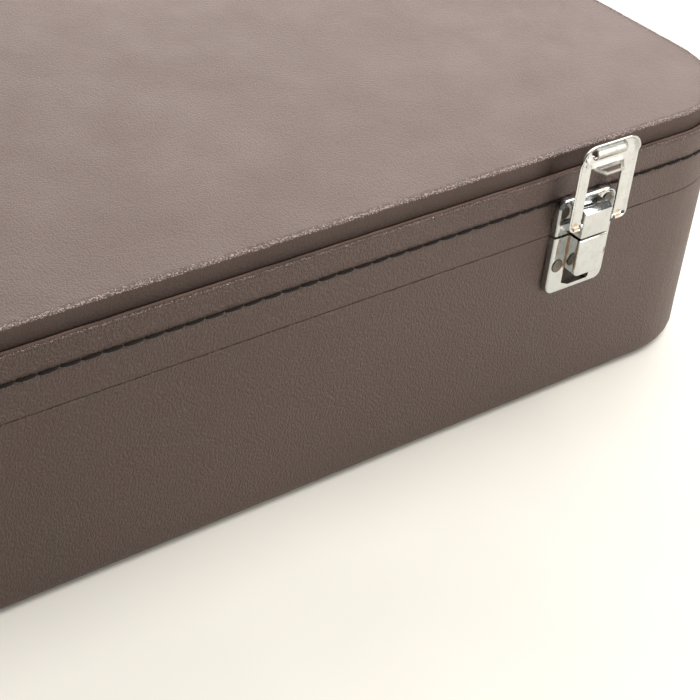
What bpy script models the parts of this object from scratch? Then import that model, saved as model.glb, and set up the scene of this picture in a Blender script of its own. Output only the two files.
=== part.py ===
"""Type case: a low carrying case of covered board with a hinged lid and a compartment tray.

The case stands on its base. X runs along the front, Y from front to back and Z up.
Each piece that comes apart on the bench is one object. The lid's pieces hang from an
empty on the hinge axis, and each hasp's pieces from an empty on its own pivot.
"""

import math

import bmesh
import bpy
from mathutils import Matrix, Vector

MM = 0.001
CASE_NAME = "type_case"

# Case body
CASE_LENGTH = 400 * MM
CASE_DEPTH = 290 * MM
CORNER_RADIUS = 36 * MM
CORNER_STEPS = 12
BASE_HEIGHT = 58 * MM
BASE_WALL = 5.5 * MM
BASE_EDGE_RADIUS = 4 * MM
BAND_HEIGHT = 19 * MM
BAND_WALL = 2.3 * MM
TOP_HEIGHT = 82.4 * MM
TOP_WALL = 2.5 * MM
TOP_EDGE_RADIUS = 0.8 * MM
GAP = 0.3 * MM
FIT = 0.1 * MM

# Liner that stands up inside the base and guides the lid
LINER_WALL = 2.2 * MM
LINER_RISE = 5 * MM
LID_LINER_THICKNESS = 1.5 * MM

# Stitched seam round the lid band
SEAM_HEIGHT = 10.8 * MM
SEAM_GROOVE_HEIGHT = 1.4 * MM
SEAM_GROOVE_DEPTH = 0.9 * MM
THREAD_HEIGHT = 0.8 * MM
THREAD_THICKNESS = 0.5 * MM

# Compartment tray
TRAY_LENGTH = 366 * MM
TRAY_DEPTH = 256 * MM
TRAY_WALL = 5 * MM
TRAY_FLOOR = 3 * MM
TRAY_TOP = 57 * MM
DIVIDER_THICKNESS = 3 * MM
DIVIDER_TOP = 53 * MM
TRAY_WALL_LOW = BASE_WALL + GAP + TRAY_FLOOR + FIT
LONG_DIVIDERS = 3
CROSS_DIVIDERS = 5

# Snap hasp latches; heights are from the parting line, distances out are from the front face
LATCH_X = 125 * MM
SHEET = 0.6 * MM
PLATE_WIDTH = 22 * MM
PLATE_PROUD = 2.2 * MM
PLATE_TOP = 11.3 * MM
PLATE_BOTTOM = 19 * MM
PLATE_CORNER = 3.5 * MM
PLATE_FOOT_CORNER = 2.8 * MM
PLATE_JOINT_CORNER = 1 * MM
PLATE_EDGE = 0.5 * MM
BLOCK_WIDTH = 10.8 * MM
BLOCK_PROUD = 6.4 * MM
BLOCK_TOP = 8.8 * MM
BLOCK_TOP_CORNER = 1.2 * MM
NOSE_CORNER = 2 * MM
BLOCK_BOTTOM = 12.3 * MM
BLOCK_EDGE = 0.7 * MM
BLOCK_SETBACK = 0.05 * MM
SLOT_WIDTH = 11.2 * MM
SLOT_LOW = 17.6 * MM
PIVOT_OUT = 5.1 * MM
PIVOT_HEIGHT = 4.6 * MM
PIVOT_PIN_RADIUS = 0.65 * MM
PIVOT_PIN_LENGTH = 12.4 * MM
LOOP_WIDTH = 22.2 * MM
LOOP_WINDOW = 12.6 * MM
LOOP_TOP = 30.3 * MM
LOOP_HEAD = 7.6 * MM
LOOP_BOTTOM = 3.7 * MM
LOOP_CORNER = 5 * MM
ARM_END_RADIUS = 2.2 * MM
TROUGH_START = 4 * MM
LOOP_RIM_OUT = 7.3 * MM
LOOP_WEB_OUT = 6 * MM
EAR_RADIUS = 1.6 * MM
EAR_THICKNESS = 0.7 * MM
SPRING_WIDTH = 11.2 * MM
SPRING_TIP_WIDTH = 6.8 * MM
SPRING_THICKNESS = 0.5 * MM
SPRING_HEM = 0.3 * MM
FOLD_THICKNESS = 1.1 * MM
FOLD_HEIGHT = 2.4 * MM
FOLD_EDGE = 0.4 * MM
SPRING_ROOT = 28.4 * MM
SPRING_BEND = 24.4 * MM
SPRING_TIP = 21.4 * MM
SPRING_TIP_OUT = 9.2 * MM

# Rivets
RIVET_RADIUS = 1.9 * MM
RIVET_HEIGHT = 0.7 * MM
RIVET_SHANK = 1.0 * MM
RIVET_REACH = 2.4 * MM
RIVET_HOLE = 1.2 * MM
RIVET_DOME = ((0, 1.0), (0.55, 0.88), (0.9, 0.5), (1.0, 0))
RIVET_X = 8.3 * MM
LID_RIVET_HEIGHT = 7 * MM
KEEPER_RIVET_DEPTH = 9.8 * MM

# Butt hinges on the back
HINGE_X = 120 * MM
HINGE_WIDTH = 40 * MM
HINGE_AXIS_OUT = 2.6 * MM
HINGE_BARREL = 2.2 * MM
HINGE_PIN_RADIUS = 1.2 * MM
HINGE_LEAF_THICKNESS = 1 * MM
HINGE_BASE_LEAF = 22 * MM
HINGE_LID_LEAF = 15 * MM
HINGE_RIVET_X = 13 * MM
HINGE_RIVET_HEIGHT = 9 * MM
HINGE_CORNER = 2 * MM
HINGE_NECK_START = 0.4 * MM
HINGE_PIN_OVERHANG = 0.6 * MM

# How far a cutting shape runs past the face it cuts
PAST = 1 * MM

# The origin is under the middle of everything, so the body sits a little behind it
BODY_Y = (SPRING_TIP_OUT - HINGE_AXIS_OUT - HINGE_BARREL) / 2
FRONT = BODY_Y - CASE_DEPTH / 2
BACK = BODY_Y + CASE_DEPTH / 2
PARTING = BASE_HEIGHT + GAP / 2
LID_LOW = BASE_HEIGHT + GAP
BAND_TOP = BASE_HEIGHT + BAND_HEIGHT

# Colour, roughness and metallic value of each material
FINISHES = {
    "leathercloth": ((0.105, 0.075, 0.068), 0.55, 0.0),
    "thread": ((0.02, 0.018, 0.018), 0.8, 0.0),
    "liner_board": ((0.30, 0.25, 0.19), 0.85, 0.0),
    "tray_wood": ((0.45, 0.31, 0.18), 0.6, 0.0),
    "chrome_plate": ((0.78, 0.77, 0.74), 0.18, 1.0),
    "spring_steel": ((0.45, 0.44, 0.43), 0.3, 1.0),
    "rivet_metal": ((0.40, 0.37, 0.35), 0.4, 1.0),
}


def clear_scene():
    """Remove what the scene holds."""
    for obj in list(bpy.data.objects):
        bpy.data.objects.remove(obj, do_unlink=True)


def make_collection(name):
    """Add a collection to the scene."""
    collection = bpy.data.collections.new(name)
    bpy.context.scene.collection.children.link(collection)
    return collection


def make_materials():
    """One Principled material for each finish."""
    materials = {}
    for name, (colour, roughness, metallic) in FINISHES.items():
        material = bpy.data.materials.new(name)
        material.use_nodes = True
        shader = material.node_tree.nodes["Principled BSDF"]
        shader.inputs["Base Color"].default_value = (*colour, 1.0)
        shader.inputs["Roughness"].default_value = roughness
        shader.inputs["Metallic"].default_value = metallic
        materials[name] = material
    return materials


clear_scene()
PARTS = make_collection(CASE_NAME)
CUTTERS = make_collection("cutters")
MATERIALS = make_materials()


# Shape helpers


def rounded_outline(low, high, radii, steps):
    """Rectangle with rounded corners, counterclockwise from the low corner."""
    corners = (
        (low[0] + radii[0], low[1] + radii[0], 180),
        (high[0] - radii[1], low[1] + radii[1], 270),
        (high[0] - radii[2], high[1] - radii[2], 0),
        (low[0] + radii[3], high[1] - radii[3], 90),
    )
    points = []
    for (centre_x, centre_y, start), radius in zip(corners, radii):
        count = steps if radius > 0 else 0
        for step in range(count + 1):
            angle = math.radians(start + 90 * step / max(count, 1))
            points.append((centre_x + radius * math.cos(angle), centre_y + radius * math.sin(angle)))
    return points


def plan_outline(inset):
    """The case seen from above, this far inside its outer face."""
    half_x = CASE_LENGTH / 2 - inset
    half_y = CASE_DEPTH / 2 - inset
    low = (-half_x, BODY_Y - half_y)
    high = (half_x, BODY_Y + half_y)
    return rounded_outline(low, high, [CORNER_RADIUS - inset] * 4, CORNER_STEPS)


def prism(outline, axis, start, end, edge_radius=0.0, edge_steps=3):
    """Closed solid: an outline extruded along an axis, its edge at the end rounded."""
    order = {"X": (2, 0, 1), "Y": (0, 2, 1), "Z": (0, 1, 2)}[axis]
    mesh = bmesh.new()
    corners = []
    for point in outline:
        flat = (point[0], point[1], start)
        corners.append(mesh.verts.new([flat[i] for i in order]))
    face = mesh.faces.new(corners)
    grown = bmesh.ops.extrude_face_region(mesh, geom=[face])
    moved = [item for item in grown["geom"] if isinstance(item, bmesh.types.BMVert)]
    along = Vector([end - start if letter == axis else 0.0 for letter in "XYZ"])
    bmesh.ops.translate(mesh, verts=moved, vec=along)
    if edge_radius > 0:
        far = set(moved)
        edges = [edge for edge in mesh.edges if all(vert in far for vert in edge.verts)]
        bmesh.ops.bevel(
            mesh,
            geom=edges,
            offset=edge_radius,
            segments=edge_steps,
            profile=0.5,
            affect="EDGES",
        )
    bmesh.ops.recalc_face_normals(mesh, faces=mesh.faces)
    return mesh


def case_block(inset, low, high, edge_radius=0.0):
    """Solid with the case's plan, its edge at the second height rounded."""
    return prism(plan_outline(inset), "Z", low, high, edge_radius)


def box(low, high):
    """Closed box between two corners."""
    mesh = bmesh.new()
    size = Vector(high) - Vector(low)
    centre = (Vector(high) + Vector(low)) / 2
    matrix = Matrix.Translation(centre) @ Matrix.Diagonal((*size, 1.0))
    bmesh.ops.create_cube(mesh, size=1.0, matrix=matrix)
    return mesh


def rods(centres, radius, length, axis, steps=16):
    """Round bars of one size along X or Y, centred on the given points."""
    turn = Matrix.Rotation(math.pi / 2, 4, "Y" if axis == "X" else "X")
    mesh = bmesh.new()
    for centre in centres:
        bmesh.ops.create_cone(
            mesh,
            cap_ends=True,
            segments=steps,
            radius1=radius,
            radius2=radius,
            depth=length,
            matrix=Matrix.Translation(centre) @ turn,
        )
    return mesh


def add_object(name, mesh, collection, location=(0, 0, 0)):
    """Turn a bmesh into an object."""
    data = bpy.data.meshes.new(name)
    mesh.to_mesh(data)
    mesh.free()
    obj = bpy.data.objects.new(name, data)
    obj.location = location
    collection.objects.link(obj)
    return obj


def smooth(obj, degrees=35):
    """Shade smooth, with sharp edges where the faces turn by more than this."""
    obj.data.shade_smooth()
    obj.data.set_sharp_from_angle(angle=math.radians(degrees))


def add_part(name, mesh, finish, location=(0, 0, 0), parent=None):
    """Add one piece of the case with its material."""
    obj = add_object(name, mesh, PARTS, location)
    obj.data.materials.append(MATERIALS[finish])
    smooth(obj)
    hang(obj, parent)
    return obj


def hang(obj, parent):
    """Parent an object to an empty without moving it."""
    if parent is not None:
        obj.parent = parent
        obj.matrix_parent_inverse = Matrix.Translation(-parent.location)


def cut(obj, mesh, location=(0, 0, 0), operation="DIFFERENCE"):
    """Take a shape away from an object, or join it on."""
    name = f"{obj.name}_{operation.lower()}_{len(obj.modifiers)}"
    cutter = add_object(name, mesh, CUTTERS, location)
    cutter.hide_render = True
    cutter.display_type = "WIRE"
    modifier = obj.modifiers.new(operation.title(), "BOOLEAN")
    modifier.operation = operation
    modifier.solver = "EXACT"
    modifier.object = cutter
    return cutter


def join(obj, mesh, location=(0, 0, 0)):
    """Join a shape to an object."""
    cut(obj, mesh, location, "UNION")


def solidify(obj, thickness):
    """Give an open wall its thickness, inwards."""
    modifier = obj.modifiers.new("Wall", "SOLIDIFY")
    modifier.thickness = thickness
    modifier.offset = -1.0
    modifier.use_even_offset = True


def turned(name, profile, finish, location, axis, parent=None, steps=12):
    """Turned piece: a profile of (radius, height) points, its top facing along the axis."""
    data = bpy.data.meshes.new(name)
    points = [(radius, 0.0, height) for radius, height in profile]
    edges = [(index, index + 1) for index in range(len(points) - 1)]
    data.from_pydata(points, edges, [])
    data.materials.append(MATERIALS[finish])
    obj = bpy.data.objects.new(name, data)
    PARTS.objects.link(obj)
    screw = obj.modifiers.new("Turn", "SCREW")
    screw.steps = steps
    screw.render_steps = steps
    screw.use_merge_vertices = True
    screw.merge_threshold = 0.00001
    screw.use_smooth_shade = True
    obj.location = location
    obj.rotation_euler = Vector(axis).to_track_quat("Z", "Y").to_euler()
    hang(obj, parent)
    return obj


def make_axis(name, location):
    """Empty on a joint's axis."""
    empty = bpy.data.objects.new(name, None)
    empty.empty_display_size = 0.02
    empty.location = location
    PARTS.objects.link(empty)
    return empty


# Case body


def open_wall(inset, low, high):
    """Upright surface that runs round the case."""
    mesh = case_block(inset, low, high)
    caps = [face for face in mesh.faces if abs(face.normal.z) > 0.5]
    bmesh.ops.delete(mesh, geom=caps, context="FACES_ONLY")
    return mesh


def wall_ring(name, inset, thickness, low, high, finish, parent=None):
    """Upright wall of one thickness that runs round the case."""
    obj = add_part(name, open_wall(inset, low, high), finish, parent=parent)
    solidify(obj, thickness)
    return obj


def rivet_holes(rivets, face, depth):
    """Holes for rivets that go this deep into a wall facing along Y."""
    out = -1 if face < BODY_Y else 1
    outside = 4 * PAST
    reach = depth + outside
    centre_y = face + out * (outside - reach / 2)
    centres = [(x, centre_y, z) for x, z in rivets]
    return rods(centres, RIVET_HOLE, reach, "Y", 12)


def build_base():
    """Base shell with its rounded lower edge, and the liner that guides the lid."""
    shell = add_part("base_shell", case_block(0, BASE_HEIGHT, 0, BASE_EDGE_RADIUS), "leathercloth")
    cut(shell, case_block(BASE_WALL, BASE_WALL, BASE_HEIGHT + BASE_WALL))
    keeper_rivets = []
    hinge_rivets = []
    for side in (-1, 1):
        for end in (-1, 1):
            keeper_rivets.append((side * LATCH_X + end * RIVET_X, PARTING - KEEPER_RIVET_DEPTH))
            hinge_rivets.append(
                (side * HINGE_X + end * HINGE_RIVET_X, PARTING - HINGE_RIVET_HEIGHT)
            )
    hole_depth = RIVET_REACH + GAP
    cut(shell, rivet_holes(keeper_rivets, FRONT, hole_depth))
    cut(shell, rivet_holes(hinge_rivets, BACK, hole_depth))
    wall_ring(
        "base_liner",
        BASE_WALL + GAP,
        LINER_WALL,
        BASE_WALL + GAP,
        BASE_HEIGHT + LINER_RISE,
        "liner_board",
    )


def build_lid(axis):
    """Lid band with its sewn top panel, the seam's thread and the panel's liner."""
    band = wall_ring("lid_band", 0, BAND_WALL, LID_LOW, BAND_TOP, "leathercloth", axis)
    seam = PARTING + SEAM_HEIGHT
    half_groove = SEAM_GROOVE_HEIGHT / 2
    outside = 2 * PAST
    groove = cut(band, open_wall(-outside, seam - half_groove, seam + half_groove))
    solidify(groove, outside + SEAM_GROOVE_DEPTH)
    plate_rivets = []
    hinge_rivets = []
    for side in (-1, 1):
        for end in (-1, 1):
            plate_rivets.append((side * LATCH_X + end * RIVET_X, PARTING + LID_RIVET_HEIGHT))
            hinge_rivets.append(
                (side * HINGE_X + end * HINGE_RIVET_X, PARTING + HINGE_RIVET_HEIGHT)
            )
    cut(band, rivet_holes(plate_rivets, FRONT, BAND_WALL))
    cut(band, rivet_holes(hinge_rivets, BACK, BAND_WALL))
    thread_inset = SEAM_GROOVE_DEPTH - GAP - THREAD_THICKNESS
    wall_ring(
        "lid_seam_thread",
        thread_inset,
        THREAD_THICKNESS,
        seam - THREAD_HEIGHT / 2,
        seam + THREAD_HEIGHT / 2,
        "thread",
        axis,
    )
    top_inset = BAND_WALL + GAP
    top = add_part(
        "lid_top",
        case_block(top_inset, LID_LOW + GAP, TOP_HEIGHT, TOP_EDGE_RADIUS),
        "leathercloth",
        parent=axis,
    )
    cut(top, case_block(top_inset + TOP_WALL, 0, TOP_HEIGHT - TOP_WALL))
    liner_high = TOP_HEIGHT - TOP_WALL - GAP
    liner = case_block(
        top_inset + TOP_WALL + GAP,
        liner_high - LID_LINER_THICKNESS,
        liner_high,
    )
    add_part("lid_liner", liner, "liner_board", parent=axis)


# Compartment tray


def notched_board(length, slots, open_below):
    """Side view of a divider with half-lap slots, open below or above."""
    half = DIVIDER_THICKNESS / 2 + GAP
    lap = (TRAY_WALL_LOW + DIVIDER_TOP) / 2
    mouth, root = (TRAY_WALL_LOW, lap + GAP) if open_below else (DIVIDER_TOP, lap)
    notches = []
    for centre in slots:
        notches += [(centre - half, mouth), (centre - half, root)]
        notches += [(centre + half, root), (centre + half, mouth)]
    below = notches if open_below else []
    above = [] if open_below else reversed(notches)
    outline = [(-length / 2, TRAY_WALL_LOW), *below, (length / 2, TRAY_WALL_LOW)]
    outline += [(length / 2, DIVIDER_TOP), *above, (-length / 2, DIVIDER_TOP)]
    return outline


def divider_places(count, span):
    """Even places for dividers across a span centred on zero."""
    return [span * (index + 1) / (count + 1) - span / 2 for index in range(count)]


def build_tray():
    """Lift-out tray: a floor, four walls and dividers that cross with half laps."""
    floor_low = BASE_WALL + GAP
    half_x = TRAY_LENGTH / 2
    half_y = TRAY_DEPTH / 2
    add_part(
        "tray_floor",
        box(
            (-half_x, BODY_Y - half_y, floor_low),
            (half_x, BODY_Y + half_y, floor_low + TRAY_FLOOR),
        ),
        "tray_wood",
    )
    for name, side in (("front", -1), ("back", 1)):
        edges = sorted((side * half_y, side * (half_y - TRAY_WALL)))
        low = (-half_x, BODY_Y + edges[0], TRAY_WALL_LOW)
        high = (half_x, BODY_Y + edges[1], TRAY_TOP)
        add_part(f"tray_wall_{name}", box(low, high), "tray_wood")
    inner_y = half_y - TRAY_WALL - FIT
    for name, side in (("left", -1), ("right", 1)):
        edges = sorted((side * half_x, side * (half_x - TRAY_WALL)))
        low = (edges[0], BODY_Y - inner_y, TRAY_WALL_LOW)
        high = (edges[1], BODY_Y + inner_y, TRAY_TOP)
        add_part(f"tray_wall_{name}", box(low, high), "tray_wood")
    inner_x = half_x - TRAY_WALL - FIT
    cross_places = divider_places(CROSS_DIVIDERS, 2 * inner_x)
    long_places = divider_places(LONG_DIVIDERS, 2 * inner_y)
    half = DIVIDER_THICKNESS / 2
    long_outline = notched_board(2 * inner_x, cross_places, open_below=False)
    for index, place in enumerate(long_places, 1):
        mesh = prism(long_outline, "Y", -half, half)
        add_part(f"divider_long_{index}", mesh, "tray_wood", (0, BODY_Y + place, 0))
    cross_outline = notched_board(2 * inner_y, long_places, open_below=True)
    for index, place in enumerate(cross_places, 1):
        mesh = prism(cross_outline, "X", -half, half)
        add_part(f"divider_cross_{index}", mesh, "tray_wood", (place, BODY_Y, 0))


# Latches, built about a point on the front face at the parting line


def rivet(name, location, axis, reach, finish, parent=None):
    """Domed rivet whose head rests at the location and faces along the axis."""
    profile = [(RIVET_RADIUS * out, RIVET_HEIGHT * up) for out, up in RIVET_DOME]
    profile += [(RIVET_SHANK, 0), (RIVET_SHANK, -reach), (0, -reach)]
    turned(name, profile, finish, location, axis, parent)


def latch_plate(name, location, low, high, radii, block_low, block_high, block_radii, parent):
    """Pressed plate with a hollow block standing up from it."""
    half = PLATE_WIDTH / 2
    block = BLOCK_WIDTH / 2
    outline = rounded_outline((-half, low), (half, high), radii, 5)
    plate = add_part(
        name,
        prism(outline, "Y", -FIT, -PLATE_PROUD, PLATE_EDGE),
        "chrome_plate",
        location,
        parent,
    )
    outline = rounded_outline((-block, block_low), (block, block_high), block_radii, 4)
    join(plate, prism(outline, "Y", -PLATE_PROUD / 2, -BLOCK_PROUD, BLOCK_EDGE), location)
    inner = rounded_outline(
        (SHEET - half, low + SHEET),
        (half - SHEET, high - SHEET),
        [max(radius - SHEET, GAP) for radius in radii],
        5,
    )
    cut(plate, prism(inner, "Y", PAST, SHEET - PLATE_PROUD), location)
    return plate


def build_lid_plate(side, location, parent):
    """Plate on the lid, with the block that carries the hasp's pivot pin."""
    plate = latch_plate(
        f"lid_plate_{side}",
        location,
        GAP,
        PLATE_TOP,
        (PLATE_JOINT_CORNER, PLATE_JOINT_CORNER, PLATE_CORNER, PLATE_CORNER),
        GAP + BLOCK_SETBACK,
        BLOCK_TOP,
        (0, 0, BLOCK_TOP_CORNER, BLOCK_TOP_CORNER),
        parent,
    )
    half = BLOCK_WIDTH / 2 - SHEET
    hollow = box((-half, SHEET - BLOCK_PROUD, GAP + SHEET), (half, 0, BLOCK_TOP - SHEET))
    cut(plate, hollow, location)
    bore = rods(
        [(0, -PIVOT_OUT, PIVOT_HEIGHT)], PIVOT_PIN_RADIUS + FIT, BLOCK_WIDTH * 1.2, "X"
    )
    cut(plate, bore, location)
    holes = [(end * RIVET_X, -PLATE_PROUD, LID_RIVET_HEIGHT) for end in (-1, 1)]
    cut(plate, rods(holes, RIVET_HOLE, 2 * PAST, "Y", 12), location)
    base = Vector(location)
    for index, (x, y, z) in enumerate(holes, 1):
        place = base + Vector((x, y - FIT, z))
        reach = PLATE_PROUD + FIT + RIVET_REACH
        rivet(f"lid_plate_rivet_{side}_{index}", place, (0, -1, 0), reach, "rivet_metal", parent)
    profile = [
        (0, PIVOT_PIN_LENGTH / 2),
        (PIVOT_PIN_RADIUS, PIVOT_PIN_LENGTH / 2),
        (PIVOT_PIN_RADIUS, -PIVOT_PIN_LENGTH / 2),
        (0, -PIVOT_PIN_LENGTH / 2),
    ]
    centre = base + Vector((0, -PIVOT_OUT, PIVOT_HEIGHT))
    turned(f"hasp_pin_{side}", profile, "spring_steel", centre, (1, 0, 0), parent, 16)


def build_keeper_plate(side, location):
    """Plate on the base, with the block that the spring snaps under."""
    plate = latch_plate(
        f"keeper_plate_{side}",
        location,
        -PLATE_BOTTOM,
        -GAP,
        (PLATE_FOOT_CORNER, PLATE_FOOT_CORNER, PLATE_JOINT_CORNER, PLATE_JOINT_CORNER),
        -BLOCK_BOTTOM,
        -GAP - BLOCK_SETBACK,
        (NOSE_CORNER, NOSE_CORNER, 0, 0),
        None,
    )
    half = BLOCK_WIDTH / 2 - SHEET
    low = -BLOCK_BOTTOM - PAST
    cut(plate, box((-half, SHEET - BLOCK_PROUD, low), (half, 0, -GAP - SHEET)), location)
    half = SLOT_WIDTH / 2
    slot = box((-half, -PLATE_PROUD - SHEET, -SLOT_LOW), (half, 0, -BLOCK_BOTTOM))
    cut(plate, slot, location)
    holes = [(end * RIVET_X, -PLATE_PROUD, -KEEPER_RIVET_DEPTH) for end in (-1, 1)]
    cut(plate, rods(holes, RIVET_HOLE, 2 * PAST, "Y", 12), location)
    for index, (x, y, z) in enumerate(holes, 1):
        place = Vector(location) + Vector((x, y - FIT, z))
        reach = PLATE_PROUD + FIT + RIVET_REACH
        rivet(f"keeper_rivet_{side}_{index}", place, (0, -1, 0), reach, "rivet_metal")


def loop_outline(grow, window_grow):
    """Hasp loop seen from the front: two arms and a head, from the pivot."""
    half = LOOP_WIDTH / 2 + grow
    inner = LOOP_WINDOW / 2 - window_grow
    top = LOOP_TOP - PIVOT_HEIGHT + grow
    low = LOOP_BOTTOM - PIVOT_HEIGHT - grow
    head = LOOP_TOP - LOOP_HEAD - PIVOT_HEIGHT - window_grow
    corner = LOOP_CORNER + grow
    end = min(ARM_END_RADIUS + grow, (half - inner) / 2 - BLOCK_SETBACK)
    points = rounded_outline((-half, low), (half, top), (end, end, corner, corner), 6)
    right_end = rounded_outline((inner, low), (half, top), (end, 0, 0, 0), 6)[:7]
    left_end = rounded_outline((-half, low), (-inner, top), (0, end, 0, 0), 6)[1:8]
    # The arms' inner sides run up from the rounded ends to the head
    window = [*left_end, (-inner, head), (inner, head), *right_end]
    return [*points[:7], *window, *points[7:]]


def build_hasp(side, location, parent):
    """Stamped loop with a turned rim and two ears, and the spring tongue in its head."""
    pivot = Vector(location) + Vector((0, -PIVOT_OUT, PIVOT_HEIGHT))
    rim = PIVOT_OUT - LOOP_RIM_OUT
    web = PIVOT_OUT - LOOP_WEB_OUT
    back = web + SHEET
    loop = add_part(
        f"hasp_loop_{side}",
        prism(loop_outline(0, 0), "Y", back, rim),
        "chrome_plate",
        pivot,
        parent,
    )
    cut(loop, prism(loop_outline(-SHEET, -SHEET), "Y", web, rim - PAST), pivot)
    trough_high = LOOP_TOP - LOOP_HEAD - PIVOT_HEIGHT + PAST
    half = LOOP_WINDOW / 2 + PAST
    cut(loop, box((-half, rim - PAST, TROUGH_START), (half, web, trough_high)), pivot)
    ear_middle = LOOP_WINDOW / 2 + FIT - EAR_THICKNESS / 2
    ears = [(end * ear_middle, 0, 0) for end in (-1, 1)]
    join(loop, rods(ears, EAR_RADIUS, EAR_THICKNESS, "X"), pivot)
    cut(loop, rods(ears, PIVOT_PIN_RADIUS + FIT, EAR_THICKNESS * 1.4, "X"), pivot)
    build_spring(side, pivot, parent, web)


def build_spring(side, pivot, parent, web):
    """Spring strip: a thick folded root on the loop's web, then a kinked, tapered tongue."""
    back = web - FIT
    fold = back - FOLD_THICKNESS
    face = back - SPRING_THICKNESS
    root = SPRING_ROOT - PIVOT_HEIGHT
    bend = SPRING_BEND - PIVOT_HEIGHT
    tip = SPRING_TIP - PIVOT_HEIGHT
    tip_out = PIVOT_OUT - SPRING_TIP_OUT
    fold_low = root - FOLD_HEIGHT
    slope = Vector((tip_out - face, tip - bend)).normalized() * SPRING_THICKNESS
    outline = [
        (back, bend - SPRING_HEM),
        (back, root),
        (fold + FOLD_EDGE, root),
        (fold, root - FOLD_EDGE),
        (fold, fold_low + FOLD_EDGE),
        (fold + FOLD_EDGE, fold_low),
        (face, fold_low),
        (face, bend),
        (tip_out, tip),
        (tip_out - slope.y, tip + slope.x),
    ]
    half = SPRING_WIDTH / 2
    mesh = prism(outline, "X", -half, half)
    narrow = SPRING_TIP_WIDTH / SPRING_WIDTH
    for vert in mesh.verts:
        if vert.co.y < fold - FIT:
            vert.co.x *= narrow
    add_part(f"hasp_spring_{side}", mesh, "spring_steel", pivot, parent)


# Hinges


def hinge_leaf(name, x, sign, height, knuckles, parent):
    """Leaf on the case's back, above or below the axis, with its share of the barrel."""
    half = HINGE_WIDTH / 2
    near = HINGE_BARREL + GAP
    low, high = sorted((sign * near, sign * height))
    inner = GAP - HINGE_AXIS_OUT
    outer = inner + HINGE_LEAF_THICKNESS
    radii = [HINGE_CORNER] * 2
    corner_radii = [0.0, 0.0, *radii] if sign > 0 else [*radii, 0.0, 0.0]
    outline = rounded_outline((-half, low), (half, high), corner_radii, 4)
    place = (x, BACK + HINGE_AXIS_OUT, PARTING)
    leaf = add_part(name, prism(outline, "Y", inner, outer), "chrome_plate", place, parent)
    for start, end in knuckles:
        neck_low, neck_high = sorted((sign * HINGE_NECK_START, sign * (near + PAST)))
        neck = box((start + FIT, inner, neck_low), (end - FIT, outer, neck_high))
        join(leaf, neck, place)
        middle = (start + end) / 2
        join(leaf, rods([(middle, 0, 0)], HINGE_BARREL, end - start, "X", 20), place)
    cut(leaf, rods([(0, 0, 0)], HINGE_PIN_RADIUS + FIT, HINGE_WIDTH * 1.2, "X", 18), place)
    holes = [(end * HINGE_RIVET_X, outer, sign * HINGE_RIVET_HEIGHT) for end in (-1, 1)]
    cut(leaf, rods(holes, RIVET_HOLE, 3 * PAST, "Y", 12), place)
    return [Vector(place) + Vector((x, y + FIT, z)) for x, y, z in holes]


def build_hinge(side, x, parent):
    """Butt hinge: the base leaf has the two outer knuckles, the lid leaf the middle one."""
    half = HINGE_WIDTH / 2
    third = HINGE_WIDTH / 6
    outer_knuckles = [(-half, -third - GAP), (third + GAP, half)]
    reach = GAP + HINGE_LEAF_THICKNESS + FIT + RIVET_REACH
    places = hinge_leaf(
        f"hinge_base_leaf_{side}", x, -1, HINGE_BASE_LEAF, outer_knuckles, None
    )
    for index, place in enumerate(places, 1):
        rivet(f"hinge_base_rivet_{side}_{index}", place, (0, 1, 0), reach, "rivet_metal")
    places = hinge_leaf(
        f"hinge_lid_leaf_{side}", x, 1, HINGE_LID_LEAF, [(-third, third)], parent
    )
    for index, place in enumerate(places, 1):
        rivet(f"hinge_lid_rivet_{side}_{index}", place, (0, 1, 0), reach, "rivet_metal", parent)
    length = HINGE_WIDTH / 2 + HINGE_PIN_OVERHANG
    profile = [
        (0, length),
        (HINGE_PIN_RADIUS, length),
        (HINGE_PIN_RADIUS, -length),
        (0, -length),
    ]
    centre = (x, BACK + HINGE_AXIS_OUT, PARTING)
    turned(f"hinge_pin_{side}", profile, "spring_steel", centre, (1, 0, 0), None, 16)


def build_case():
    """Build every piece."""
    lid_axis = make_axis("lid_axis", (0, BACK + HINGE_AXIS_OUT, PARTING))
    build_base()
    build_lid(lid_axis)
    build_tray()
    for side, sign in (("left", -1), ("right", 1)):
        location = (sign * LATCH_X, FRONT, PARTING)
        build_lid_plate(side, location, lid_axis)
        build_keeper_plate(side, location)
        pivot = (location[0], FRONT - PIVOT_OUT, PARTING + PIVOT_HEIGHT)
        build_hasp(side, location, make_axis(f"hasp_axis_{side}", pivot))
        build_hinge(side, sign * HINGE_X, lid_axis)


build_case()
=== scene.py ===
import math
import random

import bmesh
import bpy
from mathutils import Matrix, Vector, noise


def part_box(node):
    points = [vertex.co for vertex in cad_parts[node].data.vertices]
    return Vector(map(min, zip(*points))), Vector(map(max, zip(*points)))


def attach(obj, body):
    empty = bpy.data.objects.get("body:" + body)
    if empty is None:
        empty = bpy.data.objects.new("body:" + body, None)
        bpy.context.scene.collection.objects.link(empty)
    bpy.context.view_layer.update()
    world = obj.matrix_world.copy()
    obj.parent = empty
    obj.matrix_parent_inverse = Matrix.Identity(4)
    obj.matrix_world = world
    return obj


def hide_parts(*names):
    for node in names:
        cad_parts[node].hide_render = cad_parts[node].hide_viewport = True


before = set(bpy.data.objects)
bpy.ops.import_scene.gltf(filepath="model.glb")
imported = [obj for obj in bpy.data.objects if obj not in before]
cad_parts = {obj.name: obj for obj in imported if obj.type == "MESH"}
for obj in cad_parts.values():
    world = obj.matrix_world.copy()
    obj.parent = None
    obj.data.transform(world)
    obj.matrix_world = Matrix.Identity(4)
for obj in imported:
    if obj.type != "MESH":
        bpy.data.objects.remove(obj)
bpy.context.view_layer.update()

MM = 0.001
random.seed(11)

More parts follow.
